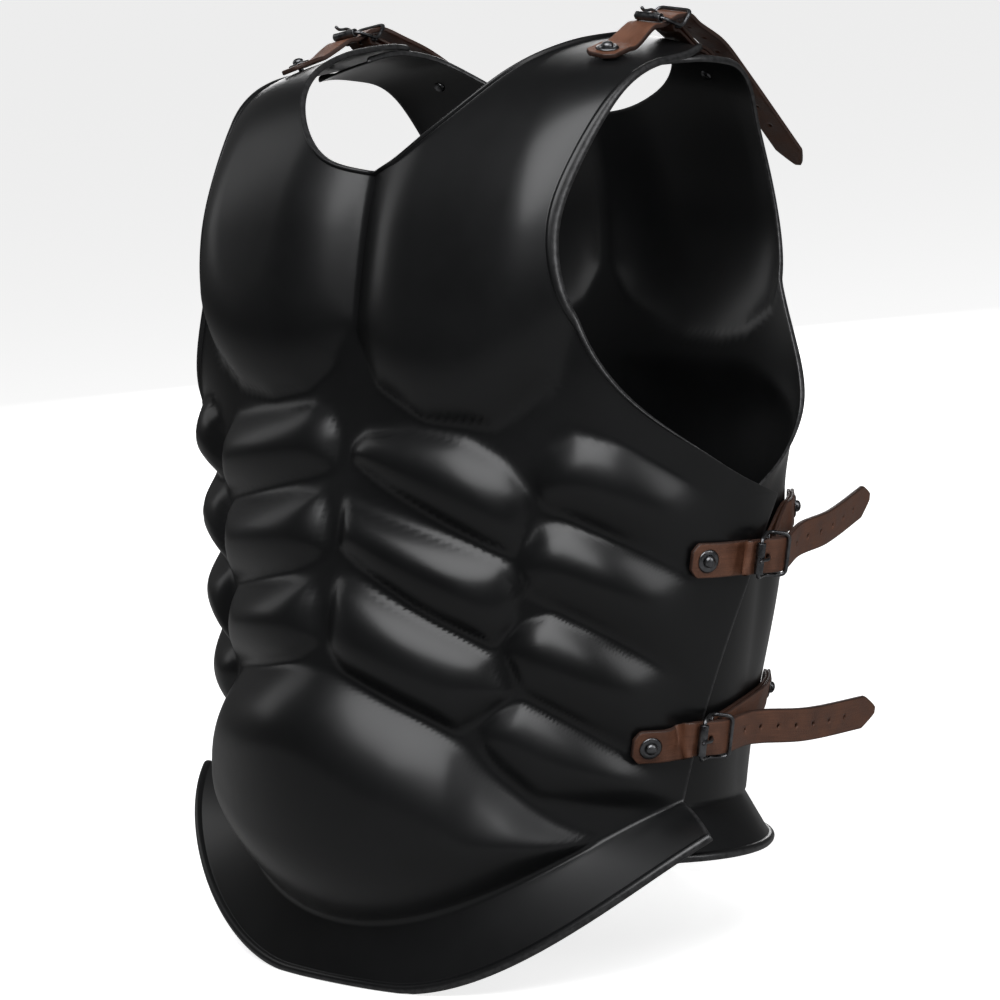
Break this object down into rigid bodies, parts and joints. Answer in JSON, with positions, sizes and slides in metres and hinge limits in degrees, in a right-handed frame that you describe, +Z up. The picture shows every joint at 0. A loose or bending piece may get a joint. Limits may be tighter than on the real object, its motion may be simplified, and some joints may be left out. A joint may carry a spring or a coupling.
{
  "type": "muscle cuirass",
  "caption": "Steel muscle cuirass: breastplate and backplate with flared waist, joined by buckled leather straps at the shoulders and sides.",
  "frame": {"origin": "middle of the underside of its box, on the floor it stands on", "axes": "+X the wearer's left, -Y the front, +Z up from the floor; the cuirass leans back 8.5 degrees on its two rims"},
  "size_m": [0.4462, 0.3878, 0.5588],
  "materials": {
    "blackened_steel": "satin black patina",
    "gunmetal": "polished dark steel",
    "brown_leather": "smooth dyed leather"
  },
  "bodies": {
    "root": {"breastplate": "blackened_steel", "backplate": "blackened_steel", "shoulder_left_strap": "brown_leather", "shoulder_left_chape": "brown_leather", "shoulder_left_buckle_frame": "gunmetal", "shoulder_left_buckle_roller": "gunmetal", "shoulder_left_buckle_tongue": "gunmetal", "shoulder_left_front_rivet": "gunmetal", "shoulder_left_front_washer": "gunmetal", "shoulder_left_back_rivet": "gunmetal", "shoulder_left_back_washer": "gunmetal", "shoulder_right_strap": "brown_leather", "shoulder_right_chape": "brown_leather", "shoulder_right_buckle_frame": "gunmetal", "shoulder_right_buckle_roller": "gunmetal", "shoulder_right_buckle_tongue": "gunmetal", "shoulder_right_front_rivet": "gunmetal", "shoulder_right_front_washer": "gunmetal", "shoulder_right_back_rivet": "gunmetal", "shoulder_right_back_washer": "gunmetal", "upper_side_left_strap": "brown_leather", "upper_side_left_chape": "brown_leather", "upper_side_left_buckle_frame": "gunmetal", "upper_side_left_buckle_roller": "gunmetal", "upper_side_left_buckle_tongue": "gunmetal", "upper_side_left_front_rivet": "gunmetal", "upper_side_left_front_washer": "gunmetal", "upper_side_left_back_rivet": "gunmetal", "upper_side_left_back_washer": "gunmetal", "upper_side_right_strap": "brown_leather", "upper_side_right_chape": "brown_leather", "upper_side_right_buckle_frame": "gunmetal", "upper_side_right_buckle_roller": "gunmetal", "upper_side_right_buckle_tongue": "gunmetal", "upper_side_right_front_rivet": "gunmetal", "upper_side_right_front_washer": "gunmetal", "upper_side_right_back_rivet": "gunmetal", "upper_side_right_back_washer": "gunmetal", "lower_side_left_strap": "brown_leather", "lower_side_left_chape": "brown_leather", "lower_side_left_buckle_frame": "gunmetal", "lower_side_left_buckle_roller": "gunmetal", "lower_side_left_buckle_tongue": "gunmetal", "lower_side_left_front_rivet": "gunmetal", "lower_side_left_front_washer": "gunmetal", "lower_side_left_back_rivet": "gunmetal", "lower_side_left_back_washer": "gunmetal", "lower_side_right_strap": "brown_leather", "lower_side_right_chape": "brown_leather", "lower_side_right_buckle_frame": "gunmetal", "lower_side_right_buckle_roller": "gunmetal", "lower_side_right_buckle_tongue": "gunmetal", "lower_side_right_front_rivet": "gunmetal", "lower_side_right_front_washer": "gunmetal", "lower_side_right_back_rivet": "gunmetal", "lower_side_right_back_washer": "gunmetal"}
  },
  "joints": []
}
